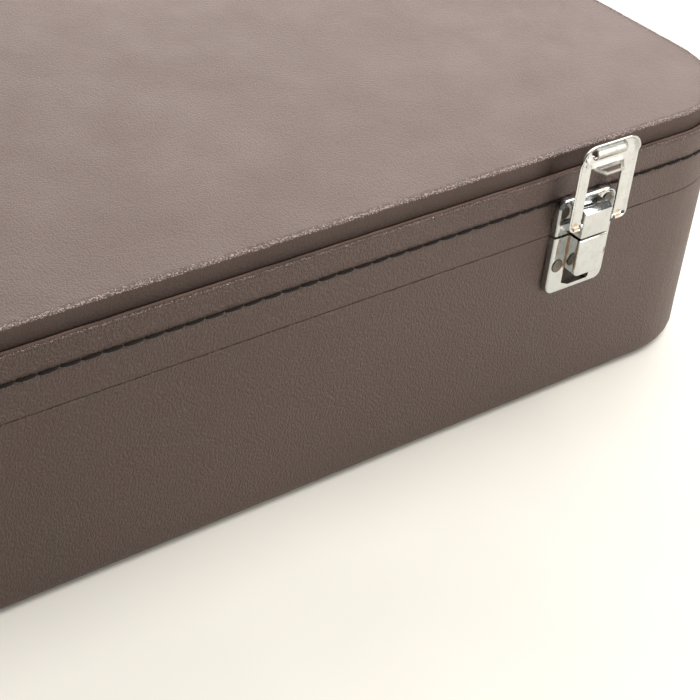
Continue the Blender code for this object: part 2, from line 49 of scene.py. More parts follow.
# ---- measures from the frame
BASE_LOW, BASE_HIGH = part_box("base_shell")
BAND_LOW, BAND_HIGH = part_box("lid_band")
TOP_LOW, TOP_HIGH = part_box("lid_top")
THREAD_LOW, THREAD_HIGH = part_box("lid_seam_thread")
BODY_CENTRE = (BASE_LOW + BASE_HIGH) / 2
HALF_LENGTH = (BASE_HIGH.x - BASE_LOW.x) / 2
HALF_DEPTH = (BASE_HIGH.y - BASE_LOW.y) / 2
FRONT_Y = BASE_LOW.y
PARTING = (BASE_HIGH.z + BAND_LOW.z) / 2
SEAM_Z = (THREAD_LOW.z + THREAD_HIGH.z) / 2
PLAN_CORNER = 36 * MM
SMALLEST_CORNER = 0.4 * MM
SIDES = ("left", "right")


# ---- mesh helpers
def skin(bm, rings, capped=True):
    """Joins neighbouring rings of vertices with faces and, if capped, closes the two ends."""
    for low, high in zip(rings, rings[1:]):
        for index in range(len(low)):
            after = (index + 1) % len(low)
            bm.faces.new((low[index], low[after], high[after], high[index]))
    if capped:
        bm.faces.new(rings[0])
        bm.faces.new(rings[-1])


def mesh_from(bm, name):
    """A new mesh with what bm holds."""
    mesh = bpy.data.meshes.new(name)
    bm.to_mesh(mesh)
    bm.free()
    return mesh


def in_scene(name, data):
    """A new object in the scene that shows data."""
    item = bpy.data.objects.new(name, data)
    bpy.context.scene.collection.objects.link(item)
    return item


def finish_mesh(bm, name, materials, body, replaced, sharp=35):
    """Turns bm into an object that rides on a CAD body and stands for the replaced nodes."""
    bmesh.ops.recalc_face_normals(bm, faces=bm.faces)
    mesh = mesh_from(bm, name)
    for material in materials:
        mesh.materials.append(material)
    mesh.shade_smooth()
    mesh.set_sharp_from_angle(angle=math.radians(sharp))
    piece = in_scene(name, mesh)
    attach(piece, body)
    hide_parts(*replaced)
    return piece


def add_shells(piece, build, sharp):
    """Lets build add closed shells to the mesh of a finished piece."""
    bm = bmesh.new()
    bm.from_mesh(piece.data)
    build(bm)
    bmesh.ops.recalc_face_normals(bm, faces=bm.faces)
    bm.to_mesh(piece.data)
    bm.free()
    piece.data.shade_smooth()
    piece.data.set_sharp_from_angle(angle=math.radians(sharp))


def plan_ring(inset, spacing):
    """Points round the case's plan outline, moved inwards by inset, the same count for each inset."""
    radius = max(PLAN_CORNER - inset, SMALLEST_CORNER)
    half_x = HALF_LENGTH - inset
    half_y = HALF_DEPTH - inset
    corner_steps = max(6, round(PLAN_CORNER * math.pi / 2 / spacing))
    corners = ((1, -1, -90), (1, 1, 0), (-1, 1, 90), (-1, -1, 180))
    arcs = []
    for sign_x, sign_y, start in corners:
        centre = Vector((sign_x * (half_x - radius), sign_y * (half_y - radius)))
        arc = []
        for step in range(corner_steps + 1):
            angle = math.radians(start + 90 * step / corner_steps)
            arc.append(centre + radius * Vector((math.cos(angle), math.sin(angle))))
        arcs.append(arc)
    points = []
    lengths = (HALF_DEPTH, HALF_LENGTH, HALF_DEPTH, HALF_LENGTH)
    for index, arc in enumerate(arcs):
        points.extend(arc)
        following = arcs[(index + 1) % 4][0]
        count = round((2 * lengths[index] - 2 * PLAN_CORNER) / spacing)
        for step in range(1, count):
            points.append(arc[-1].lerp(following, step / count))
    offset = Vector((BODY_CENTRE.x, BODY_CENTRE.y))
    return [point + offset for point in points]


def sweep_rings(bm, profile, spacing, shape=None, close=False):
    """Skins rings of the plan outline at each (inset, height) of the profile.

    shape moves a point: it gets the station along the ring, the profile index and the point.
    A profile that isn't closed on itself gets a flat face at each end.
    """
    rings = []
    for level, (inset, height) in enumerate(profile):
        ring = []
        for station, flat in enumerate(plan_ring(inset, spacing)):
            point = Vector((flat.x, flat.y, height))
            if shape:
                point = shape(station, level, point)
            ring.append(bm.verts.new(point))
        rings.append(ring)
    skin(bm, rings + rings[:1] if close else rings, capped=not close)
    return rings


def past_corners(point):
    """How far a point lies beyond the straight part of the plan's walls, along x and along y."""
    over_x = abs(point.x - BODY_CENTRE.x) - (HALF_LENGTH - PLAN_CORNER)
    over_y = abs(point.y - BODY_CENTRE.y) - (HALF_DEPTH - PLAN_CORNER)
    return over_x, over_y


def plan_inset(point):
    """How far a point lies inside the case's plan outline."""
    over_x, over_y = past_corners(point)
    if over_x > 0 and over_y > 0:
        return PLAN_CORNER - math.hypot(over_x, over_y)
    return PLAN_CORNER - max(over_x, over_y)


def arc_profile(centre, radius, start, end, steps):
    """Points on an arc in a profile or an outline; angles are in degrees."""
    points = []
    for step in range(steps + 1):
        angle = math.radians(start + (end - start) * step / steps)
        points.append((centre[0] + radius * math.cos(angle), centre[1] + radius * math.sin(angle)))
    return points


def paint(piece, name, value_of):
    """Stores a number per vertex, worked out from its place, for the material to read."""
    layer = piece.data.attributes.new(name, "FLOAT", "POINT")
    for vertex in piece.data.vertices:
        layer.data[vertex.index].value = value_of(vertex.co)


def lathe(bm, profile, centre, axis, steps=28):
    """A closed turned solid: profile is (radius, distance along axis), starting and ending at 0."""
    turn = Vector((0, 0, 1)).rotation_difference(axis).to_matrix()
    rings = []
    for radius, along in profile:
        if radius == 0:
            rings.append([bm.verts.new(centre + turn @ Vector((0, 0, along)))])
            continue
        ring = []
        for step in range(steps):
            angle = 2 * math.pi * step / steps
            spoke = Vector((radius * math.cos(angle), radius * math.sin(angle), along))
            ring.append(bm.verts.new(centre + turn @ spoke))
        rings.append(ring)
    for low, high in zip(rings, rings[1:]):
        for index in range(steps):
            after = (index + 1) % steps
            if len(low) == 1:
                bm.faces.new((low[0], high[index], high[after]))
            elif len(high) == 1:
                bm.faces.new((low[index], high[0], low[after]))
            else:
                bm.faces.new((low[index], low[after], high[after], high[index]))


def relief(bm, us, vs, place, front):
    """A closed plate over the grid us by vs: front gives how far its face stands out."""
    face = [[bm.verts.new(place(u, v, front(u, v))) for u in us] for v in vs]
    rear = [[bm.verts.new(place(u, v, 0.0)) for u in us] for v in vs]
    rows, columns = len(vs), len(us)
    for i in range(rows - 1):
        for j in range(columns - 1):
            bm.faces.new((face[i][j], face[i][j + 1], face[i + 1][j + 1], face[i + 1][j]))
            bm.faces.new((rear[i][j], rear[i + 1][j], rear[i + 1][j + 1], rear[i][j + 1]))
    border = [(0, j) for j in range(columns)]
    border += [(i, columns - 1) for i in range(1, rows)]
    border += [(rows - 1, j) for j in range(columns - 2, -1, -1)]
    border += [(i, 0) for i in range(rows - 2, 0, -1)]
    for (i, j), (k, m) in zip(border, border[1:] + border[:1]):
        bm.faces.new((face[i][j], rear[i][j], rear[k][m], face[k][m]))


def curve_through(points, value):
    """Straight-line interpolation through (position, height) points."""
    if value <= points[0][0]:
        return points[0][1]
    for (low, low_height), (high, high_height) in zip(points, points[1:]):
        if value <= high:
            return low_height + (high_height - low_height) * (value - low) / (high - low)
    return points[-1][1]


# ---- material helpers
class Nodes:
    """A new material with short calls for adding and linking nodes."""

    def __init__(self, name):
        self.material = bpy.data.materials.new(name)
        self.material.use_nodes = True
        self.tree = self.material.node_tree
        self.shader = self.tree.nodes["Principled BSDF"]
        self.place = self.add("ShaderNodeTexCoord").outputs["Object"]

    def add(self, kind, inputs=None, **settings):
        node = self.tree.nodes.new(kind)
        for key, value in settings.items():
            setattr(node, key, value)
        for key, value in (inputs or {}).items():
            self.feed(node.inputs[key], value)
        return node

    def feed(self, socket, value):
        if isinstance(value, bpy.types.NodeSocket):
            self.tree.links.new(value, socket)
        else:
            socket.default_value = value

    def mapped(self, scale=(1, 1, 1), turn=(0, 0, 0), kind="POINT"):
        node = self.add("ShaderNodeMapping", {"Vector": self.place}, vector_type=kind)
        node.inputs["Scale"].default_value = scale
        node.inputs["Rotation"].default_value = [math.radians(angle) for angle in turn]
        return node.outputs["Vector"]

    def noise(self, scale, detail=3.0, rough=0.55, vector=None):
        inputs = {"Vector": vector or self.place, "Scale": scale}
        inputs.update({"Detail": detail, "Roughness": rough})
        return self.add("ShaderNodeTexNoise", inputs).outputs["Fac"]

    def cells(self, scale, vector=None, output="Distance"):
        inputs = {"Vector": vector or self.place, "Scale": scale}
        return self.add("ShaderNodeTexVoronoi", inputs).outputs[output]

    def few_cells(self, scale, channel, size, share):
        """Small spots in a few of the cells: size and share are two ramp positions each."""
        spot = self.grey(self.cells(scale), (size[0], 1.0), (size[1], 0.0))
        lot = self.add("ShaderNodeSeparateColor", {0: self.cells(scale, output="Color")})
        chosen = self.grey(lot.outputs[channel], (share[0], 0.0), (share[1], 1.0))
        return self.math("MULTIPLY", spot, chosen)

    def ramp(self, value, *stops):
        node = self.add("ShaderNodeValToRGB", {"Fac": value})
        elements = node.color_ramp.elements
        for index, (position, colour) in enumerate(stops):
            element = elements[index] if index < 2 else elements.new(position)
            element.position = position
            element.color = colour if len(colour) == 4 else (*colour, 1)
        return node.outputs["Color"]

    def grey(self, value, *stops):
        return self.ramp(value, *((position, (level,) * 3) for position, level in stops))

    def math(self, operation, first, second=0.0, third=0.0):
        node = self.add("ShaderNodeMath", operation=operation)
        for socket, value in zip(node.inputs, (first, second, third)):
            self.feed(socket, value)
        return node.outputs[0]

    def blend(self, factor, first, second, how="MIX"):
        node = self.add("ShaderNodeMix", data_type="RGBA", blend_type=how)
        colour_sockets = [s for s in node.inputs if s.type == "RGBA"]
        self.feed(node.inputs[0], factor)
        for socket, value in zip(colour_sockets, (first, second)):
            self.feed(socket, value if isinstance(value, bpy.types.NodeSocket) else (*value, 1))
        return [s for s in node.outputs if s.type == "RGBA"][0]

    def attribute(self, name):
        return self.add("ShaderNodeAttribute", attribute_name=name).outputs["Fac"]

    def bump(self, height, strength, distance, normal=None):
        inputs = {"Height": height, "Strength": strength, "Distance": distance}
        if normal is not None:
            inputs["Normal"] = normal
        return self.add("ShaderNodeBump", inputs).outputs["Normal"]

    def set(self, **values):
        for key, value in values.items():
            self.feed(self.shader.inputs[key.replace("_", " ")], value)


def srgb(red, green, blue):
    """A linear colour from 0 to 255 display values."""
    linear = []
    for value in (red, green, blue):
        level = value / 255
        linear.append(level / 12.92 if level <= 0.04045 else ((level + 0.055) / 1.055) ** 2.4)
    return tuple(linear)


def leathercloth(name, grain_depth, dust=0.0):
    """Brown embossed bookcloth: fine pebbles in slanting rows; on edges, pale worn flecks with
    painted glints and painted pebble shade; painted shade in gaps.
    """
    n = Nodes(name)
    laid = n.mapped(scale=(1.0, 1.9, 1.9), turn=(0, 33, -30), kind="TEXTURE")
    warp = n.add("ShaderNodeTexNoise", {"Vector": laid, "Scale": 700.0, "Detail": 2.0})
    bent = n.add("ShaderNodeVectorMath", {0: warp.outputs["Color"], 1: (0.5, 0.5, 0.5)},
                 operation="SUBTRACT").outputs[0]
    bent = n.add("ShaderNodeVectorMath", {0: bent, "Scale": 0.4 * MM}, operation="SCALE").outputs[0]
    bent = n.add("ShaderNodeVectorMath", {0: laid, 1: bent}, operation="ADD").outputs[0]
    pebble = n.cells(2350.0, vector=bent)
    height = n.grey(pebble, (0.0, 1.0), (0.3, 0.86), (0.62, 0.2), (0.85, 0.0))
    fine = n.noise(5200.0, detail=2.0)
    height = n.math("MULTIPLY_ADD", fine, 0.5, height)
    patches = n.noise(55.0, detail=5.0, rough=0.66)
    broad = n.noise(7.0, detail=2.0)
    wear_and_glint = n.attribute("wear_and_glint")
    glints = n.noise(2300.0, detail=3.0, rough=0.75)
    edge = n.grey(wear_and_glint, (0.02, 0.0), (0.35, 1.0))
    # Pale flecks on the edges: real wear, with painted glints of pebbles catching the light.
    rubbed_and_glinting = n.math("MULTIPLY_ADD", wear_and_glint, 0.10, glints)
    rubbed_and_glinting = n.math("MULTIPLY", n.grey(rubbed_and_glinting, (0.59, 0.0), (0.67, 1.0)), edge)
    hollow = n.grey(height, (0.1, 0.0), (1.1, 1.0))
    painted_shade = n.attribute("painted_shade")
    dark_brown, brown, faded = srgb(32, 17, 10), srgb(56, 35, 25), srgb(86, 66, 56)
    pebble_shade_brown, gap_shade_brown, pale_wear_and_glint = srgb(44, 32, 27), srgb(28, 17, 11), srgb(186, 166, 159)
    colour = n.blend(hollow, dark_brown, brown)
    colour = n.blend(1.0, colour, n.grey(patches, (0.28, 0.84), (0.72, 1.12)), how="MULTIPLY")
    colour = n.blend(n.grey(broad, (0.35, 0.0), (0.7, 0.2)), colour, faded)
    # Edges darkened: painted shade of the pebbles that don't catch the light.
    colour = n.blend(n.math("MULTIPLY", edge, 0.45), colour, pebble_shade_brown)
    # Painted shade: darker and rougher in the gap behind the band's bead and on the panel's skirt.
    colour = n.blend(n.math("MULTIPLY", painted_shade, 0.3), colour, gap_shade_brown)
    colour = n.blend(n.math("MULTIPLY", rubbed_and_glinting, 0.75), colour, pale_wear_and_glint)
    if dust:
        speck = n.few_cells(62.0, channel=0, size=(0.02, 0.032), share=(0.88, 0.90))
        colour = n.blend(n.math("MULTIPLY", speck, dust), colour, srgb(226, 220, 210))
    rough = n.math("MULTIPLY_ADD", patches, 0.2, 0.38)
    rough = n.math("MULTIPLY_ADD", edge, 0.12, rough)
    rough = n.math("MULTIPLY_ADD", painted_shade, 0.25, rough)
    n.set(Base_Color=colour, Roughness=rough)
    n.set(Specular_IOR_Level=0.9, Specular_Tint=(1.0, 0.85, 0.80, 1.0))
    wavy = n.bump(broad, 0.25, 1.2 * MM)
    rubbing = n.bump(glints, n.math("MULTIPLY", edge, 0.9), 0.22 * MM, wavy)
    n.set(Normal=n.bump(height, 0.9, grain_depth, rubbing))
    return n.material


def raw_board(name):
    """Cut edge of grey-brown fibreboard: layered, slightly fibrous."""
    n = Nodes(name)
    layers = n.noise(900.0, detail=3.0, vector=n.mapped(scale=(0.05, 0.05, 1.0)))
    fibres = n.noise(1500.0, detail=4.0, rough=0.7)
    colour = n.ramp(layers, (0.3, srgb(74, 54, 44)), (0.55, srgb(112, 86, 72)),
                    (0.75, srgb(88, 66, 55)))
    colour = n.blend(n.grey(fibres, (0.35, 0.7), (0.6, 0.0)), colour, srgb(56, 40, 33))
    n.set(Base_Color=colour, Roughness=n.math("MULTIPLY_ADD", fibres, 0.2, 0.65))
    n.set(Normal=n.bump(fibres, 0.5, 0.18 * MM))
    return n.material


def thread_cotton(name):
    """Black waxed thread with a tight twist."""
    n = Nodes(name)
    twist = n.add("ShaderNodeTexWave", {"Vector": n.mapped(turn=(0, 38, 38)), "Scale": 900.0,
                                        "Distortion": 1.5, "Detail": 1.0})
    twist = twist.outputs["Fac"]
    fuzz = n.noise(4200.0, detail=3.0)
    colour = n.ramp(twist, (0.1, srgb(9, 8, 8)), (0.8, srgb(28, 24, 22)))
    colour = n.blend(n.grey(fuzz, (0.5, 0.0), (0.75, 0.4)), colour, srgb(60, 50, 44))
    n.set(Base_Color=colour, Roughness=n.math("MULTIPLY_ADD", fuzz, 0.25, 0.6))
    n.set(Specular_IOR_Level=0.15, Normal=n.bump(twist, 0.5, 0.12 * MM))
    return n.material


def chrome(name, tone, haze, pits):
    """Old nickel-chrome plating: bright, slightly hazed, pitted, and tan where the
    dirt-and-reflection mask is painted.
    """
    n = Nodes(name)
    cloud = n.noise(210.0, detail=4.0, rough=0.65)
    fine = n.noise(2600.0, detail=3.0)
    pit = n.few_cells(1900.0, channel=1, size=(0.12, 0.26), share=(0.80, 0.84))
    stain = n.grey(n.noise(95.0, detail=5.0, rough=0.7), (0.54, 0.0), (0.72, 1.0))
    patch = n.noise(420.0, detail=5.0, rough=0.7)
    # Tan from the painted mask with random patches: dirt, and painted reflection of the leather.
    dirt_and_reflection_mask = n.math("MULTIPLY_ADD", n.attribute("dirt_and_reflection"), 0.75, patch)
    dirt_and_reflection_mask = n.grey(dirt_and_reflection_mask, (0.78, 0.0), (1.12, 1.0))
    yellowed, rust = srgb(176, 164, 146), srgb(104, 88, 70)
    dulled, tan = srgb(164, 158, 146), srgb(180, 152, 122)
    colour = n.blend(n.math("MULTIPLY", stain, 0.3), srgb(*tone), yellowed)
    colour = n.blend(n.math("MULTIPLY", pit, pits), colour, rust)
    colour = n.blend(n.grey(patch, (0.46, 0.0), (0.66, 0.3)), colour, dulled)
    colour = n.blend(n.math("MULTIPLY", dirt_and_reflection_mask, 0.75), colour, tan)
    rough = n.math("MULTIPLY_ADD", cloud, haze, haze * 0.4)
    rough = n.math("MULTIPLY_ADD", stain, 0.08, rough)
    rough = n.math("MULTIPLY_ADD", dirt_and_reflection_mask, 0.3, rough)
    rough = n.math("MULTIPLY_ADD", pit, 0.4, rough)
    n.set(Base_Color=colour, Roughness=rough, Metallic=1.0)
    soft = n.bump(fine, 0.10, 0.04 * MM)
    n.set(Normal=n.bump(n.math("MULTIPLY", pit, -1.0), 0.25, 0.08 * MM, soft))
    return n.material


def steel(name, tone, direction=(1.0, 12.0, 12.0)):
    """Rolled steel: fine brushing along one direction, a little tarnish, and dark brown where the
    mask is painted; on the spring's tongue that is a painted dark reflection.
    """
    n = Nodes(name)
    brushed = n.noise(900.0, detail=3.0, vector=n.mapped(scale=direction))
    tarnish = n.noise(120.0, detail=5.0, rough=0.68)
    spots = n.grey(n.noise(700.0, detail=3.0), (0.62, 0.0), (0.74, 1.0))
    low = tuple(value * 0.72 for value in tone)
    colour = n.ramp(brushed, (0.3, srgb(*low)), (0.7, srgb(*tone)))
    colour = n.blend(n.grey(tarnish, (0.5, 0.0), (0.75, 0.6)), colour, srgb(120, 104, 86))
    colour = n.blend(n.math("MULTIPLY", spots, 0.5), colour, srgb(84, 66, 52))
    # Dark brown where the mask is painted: a painted dark reflection on the spring's tongue.
    dirt_and_reflection_mask = n.math("MULTIPLY", n.attribute("dirt_and_reflection"), n.grey(tarnish, (0.3, 1.0), (0.62, 0.75)))
    colour = n.blend(dirt_and_reflection_mask, colour, srgb(84, 70, 60))
    rough = n.math("MULTIPLY_ADD", brushed, 0.22, 0.2)
    rough = n.math("MULTIPLY_ADD", tarnish, 0.2, rough)
    n.set(Base_Color=colour, Roughness=rough, Metallic=1.0)
    n.set(Normal=n.bump(brushed, 0.2, 0.05 * MM))
    return n.material


def lining(name, light, dark):
    """Grey-buff lining board with paper fibres and faint foxing."""
    n = Nodes(name)
    fibre = n.noise(1300.0, detail=5.0, rough=0.7, vector=n.mapped(scale=(1, 0.35, 0.6)))
    fox = n.grey(n.noise(55.0, detail=4.0, rough=0.6), (0.56, 0.0), (0.76, 1.0))
    colour = n.ramp(fibre, (0.32, srgb(*dark)), (0.68, srgb(*light)))
    colour = n.blend(n.math("MULTIPLY", fox, 0.35), colour, srgb(142, 112, 80))
    n.set(Base_Color=colour, Roughness=n.math("MULTIPLY_ADD", fibre, 0.15, 0.74))
    n.set(Normal=n.bump(fibre, 0.35, 0.12 * MM))
    return n.material


def wood(name, along, light, dark):
    """Planed softwood with growth rings stretched along one axis, pores and handling marks."""
    n = Nodes(name)
    stretch = [0.09 if axis == along else 1.0 for axis in "xyz"]
    laid = n.mapped(scale=stretch, turn=(4, 3, 2))
    wave = n.add("ShaderNodeTexWave", {"Vector": laid, "Scale": 48.0, "Distortion": 5.5,
                                       "Detail": 3.0, "Detail Scale": 1.4},
                 bands_direction="Y" if along != "y" else "X")
    rings = wave.outputs["Fac"]
    pores = n.noise(2300.0, detail=3.0, vector=laid)
    tone = n.noise(22.0, detail=3.0)
    colour = n.ramp(rings, (0.15, srgb(*light)), (0.72, srgb(*[v * 0.93 for v in light])),
                    (0.97, srgb(*dark)))
    colour = n.blend(n.grey(pores, (0.3, 0.55), (0.48, 0.0)), colour, srgb(*dark))
    colour = n.blend(1.0, colour, n.grey(tone, (0.3, 0.85), (0.7, 1.08)), how="MULTIPLY")
    n.set(Base_Color=colour, Roughness=n.math("MULTIPLY_ADD", pores, 0.25, 0.42))
    n.set(Normal=n.bump(n.math("MULTIPLY_ADD", pores, 0.6, rings), 0.25, 0.12 * MM))
    return n.material


def floor_paper(name):
    """Plain pale table: almost white, matt, with the slightest unevenness."""
    n = Nodes(name)
    soft = n.noise(14.0, detail=2.0)
    colour = n.ramp(soft, (0.3, srgb(239, 236, 226)), (0.7, srgb(243, 240, 230)))
    n.set(Base_Color=colour, Roughness=0.6, Specular_IOR_Level=0.25)
    n.set(Normal=n.bump(n.noise(600.0), 0.05, 0.1 * MM))
    return n.material


LEATHER = leathercloth("leathercloth", 0.055 * MM, dust=0.9)
LEATHER_SIDE = leathercloth("leathercloth_sides", 0.24 * MM)
RAW_EDGE = raw_board("raw_board_edge")
THREAD = thread_cotton("thread")
# Near-black board for the slot's floor: painted shade standing in for the dark hole into the case.
SLOT_SHADE = lining("slot_painted_shade", (34, 31, 28), (20, 18, 17))
CHROME = chrome("chrome_plate", (195, 198, 197), 0.12, 0.7)
CHROME_LOOP = chrome("chrome_loop", (201, 203, 201), 0.09, 0.45)
SPRING = steel("spring_steel", (204, 202, 196))
RIVET = steel("rivet_metal", (118, 110, 102), direction=(4.0, 4.0, 4.0))
HINGE = steel("hinge_steel", (178, 174, 166))
LINER = lining("liner_board", (176, 164, 142), (146, 132, 110))
WOOD_X = wood("tray_wood_x", "x", (196, 160, 112), (150, 108, 66))
WOOD_Y = wood("tray_wood_y", "y", (196, 160, 112), (150, 108, 66))


# ---- covered case
BASE_SPACING = 5 * MM
BAND_SPACING = 1.43 * MM
TOP_SPACING = 0.7 * MM
STITCH_PITCH = 5.72 * MM
JOINT_GAP = 0.05 * MM
COVER_SHARP = 60
STATIONS = len(plan_ring(0, BAND_SPACING))
STITCH_COUNT = round(STATIONS * BAND_SPACING / STITCH_PITCH)
STITCH_ENDS = [round(STATIONS * k / STITCH_COUNT) % STATIONS for k in range(STITCH_COUNT + 1)]


def wall_inward(point):
    """Unit direction square to the nearest wall."""
    over_x, over_y = past_corners(point)
    sign_x = -math.copysign(max(over_x, 0.0), point.x - BODY_CENTRE.x)
    sign_y = -math.copysign(max(over_y, 0.0), point.y - BODY_CENTRE.y)
    return Vector((sign_x, sign_y, 0)).normalized()


def waved(point, depth):
    """Pushes a wall's point inwards by up to depth with a slow, seamless wave."""
    wave = noise.noise(point * 9.0) * 0.6 + noise.noise(point * 26.0) * 0.4
    return point + wall_inward(point) * depth * (0.5 + 0.5 * wave)


def build_base_cover():
    """The deep base: floor, wall, rim turned over, outer wall and rounded foot."""
    wall = 5.5 * MM
    edge = 4 * MM
    inner_rim = 0.9 * MM
    rim = 0.32 * MM
    slack = 0.2 * MM
    foot_height = 1.3 * MM
    top = PARTING - JOINT_GAP
    profile = [(wall, wall), (wall, 20 * MM), (wall, 40 * MM)]
    profile += arc_profile((wall - inner_rim, top - inner_rim), inner_rim, 0, 90, 4)
    profile += arc_profile((rim, top - rim), rim, 90, 180, 4)
    outer_start = len(profile)
    profile += [(0, top - 0.8 * MM)]
    profile += [(0, top - (top - edge) * k / 10) for k in range(1, 10)]
    outer_end = len(profile)
    profile += arc_profile((edge, edge), edge, 180, 270, 8)
    profile += [(14 * MM, 0), (40 * MM, 0)]

    def shape(station, level, point):
        return waved(point, slack) if outer_start < level < outer_end else point

    bm = bmesh.new()
    sweep_rings(bm, profile, BASE_SPACING, shape)
    piece = finish_mesh(bm, "base_cover", [LEATHER_SIDE], "base",
                        ["base_shell"], COVER_SHARP)

    # Pale wear flecks with painted glints along the rim and along the foot's rounding.
    def wear_and_glint(point):
        if plan_inset(point) > 1.5 * MM:
            return 0.0
        rim_line = 0.2 * max(0.0, 1 - abs(point.z - top) / (0.6 * MM))
        foot_line = 0.5 * max(0.0, 1 - abs(point.z - foot_height) / (0.9 * MM))
        return max(rim_line, foot_line)

    paint(piece, "wear_and_glint", wear_and_glint)


def build_lid_band():
    """The sewn band: covered outside, a shallow seam channel, a bead and a raw edge on top."""
    wall = plan_wall("lid_band")
    low, high = PARTING + JOINT_GAP, BAND_HIGH.z
    rim = 0.3 * MM
    slack, channel_depth, dimple = 0.16 * MM, 0.2 * MM, 0.2 * MM
    profile = [(wall, high - 1.2 * MM), (wall, low + rim)]
    profile += arc_profile((wall - rim, low + rim), rim, 0, -90, 2)
    profile += arc_profile((rim, low + rim), rim, 270, 180, 3)
    profile += [(0, low + 1.2 * MM), (0, low + 4 * MM), (0, low + 7 * MM)]
    seam_start = len(profile)
    for offset, depth in ((-1.4, 0), (-0.9, 0.3), (-0.45, 0.85), (0, 1.0),
                          (0.45, 0.85), (0.9, 0.3), (1.4, 0)):
        profile.append((channel_depth * depth, SEAM_Z + offset * MM))
    seam_end = len(profile)
    profile += [(0, SEAM_Z + 3 * MM), (0, SEAM_Z + 5.2 * MM)]
    bead_start = len(profile)
    crease = ((0.0, -1.3), (0.01, -0.95), (0.12, -0.72), (0.04, -0.5), (0.0, -0.3), (0.12, -0.08),
              (0.36, 0.0), (0.62, -0.04), (0.95, -0.24))
    profile += [(inset * MM, high + rise * MM) for inset, rise in crease]
    raw_start = len(profile) - 1
    raw = ((1.15, -0.48), (1.4, -0.34), (1.62, -0.08), (1.84, -0.04), (2.02, -0.2), (2.16, -0.6))
    profile += [(inset * MM, high + rise * MM) for inset, rise in raw]
    dimples = set(STITCH_ENDS)

    def shape(station, level, point):
        if seam_start - 3 < level < bead_start:
            point = waved(point, slack)
        if seam_start < level < seam_end - 1 and station in dimples:
            point = point + wall_inward(point) * dimple
        if level >= bead_start:
            flat = Vector((point.x, point.y, 0))
            point = point + Vector((0, 0, 0.09 * MM * noise.noise(flat * 160)))
            point += wall_inward(point) * 0.08 * MM * noise.noise(flat * 90 + Vector((0, 0, level)))
        return point

    bm = bmesh.new()
    rings = sweep_rings(bm, profile, BAND_SPACING, shape, close=True)
    raw_rings = set().union(*rings[raw_start:], rings[0])
    for face in bm.faces:
        if all(vertex in raw_rings for vertex in face.verts):
            face.material_index = 1
    piece = finish_mesh(bm, "lid_band_cover", [LEATHER_SIDE, RAW_EDGE], "lid",
                        ["lid_band"], COVER_SHARP)

    # A painted highlight line along the bead, with wear flecks.
    def wear_and_glint(point):
        inset = plan_inset(point)
        bead = max(0.0, 1 - math.hypot(inset - 0.3 * MM, point.z - high + 0.05 * MM) / (0.5 * MM))
        return 0.9 * bead if inset < 1.2 * MM else 0.0

    # Painted shade on the band's top ledge and inner faces, behind the bead.
    def painted_shade(point):
        return 1.0 if plan_inset(point) > 0.6 * MM else 0.0

    paint(piece, "wear_and_glint", wear_and_glint)
    paint(piece, "painted_shade", painted_shade)


def plan_wall(node):
    """Wall thickness of a CAD ring, read from its mesh."""
    widths = [plan_inset(vertex.co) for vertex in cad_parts[node].data.vertices]
    return max(widths)


def build_lid_top():
    """The raised panel: skirt nested in the band, a rubbed upper edge with painted glints, and a
    slight crown.
    """
    inset = HALF_LENGTH - TOP_HIGH.x
    wall = 2.5 * MM
    edge = 0.75 * MM
    crown = 0.5 * MM
    low, high = TOP_LOW.z, TOP_HIGH.z
    inner = inset + wall
    profile = [(80 * MM, high - wall), (inner + 1 * MM, high - wall)]
    profile += [(inner, high - wall - 1 * MM), (inner, low), (inset, low)]
    skirt = len(profile)
    profile += [(inset, low + (high - edge - low) * k / 8) for k in range(1, 8)]
    profile += arc_profile((inset + edge, high - edge), edge, 180, 90, 6)
    for reach in (1.4, 2.2, 3.2, 4.5, 7, 11, 16, 24, 36, 52, 72, 95, 118):
        rise = crown * math.sin(math.pi / 2 * min(1, max(0, reach - 3) / 110))
        profile.append((inset + reach * MM, high + rise))

    def shape(station, level, point):
        if level > skirt:
            flat = Vector((point.x, point.y, 0))
            near = max(0.0, 1 - (plan_inset(point) - inset) / (4 * MM))
            ragged = noise.noise(flat * 620) + 0.8 * noise.noise(flat * 260)
            point = point + Vector((0, 0, near * 0.12 * MM * ragged))
            point += wall_inward(point) * near * 0.14 * MM * noise.noise(flat * 55)
        return point

    bm = bmesh.new()
    sweep_rings(bm, profile, TOP_SPACING, shape)
    piece = finish_mesh(bm, "lid_top_cover", [LEATHER], "lid", ["lid_top"],
                        COVER_SHARP)

    # Wear flecks with painted glints along the panel's upper edge.
    def wear_and_glint(point):
        if point.z < high - 0.5 * MM:
            return 0.0
        return max(0.0, 1 - abs(plan_inset(point) - inset - 0.5 * MM) / (1.7 * MM))

    # Painted shade on the panel's skirt, which stands in the gap above the band.
    def painted_shade(point):
        side = plan_inset(point) < inset + 0.3 * MM and point.z < high - 0.35 * MM
        return 1.0 if side else 0.0

    paint(piece, "wear_and_glint", wear_and_glint)
    paint(piece, "painted_shade", painted_shade)


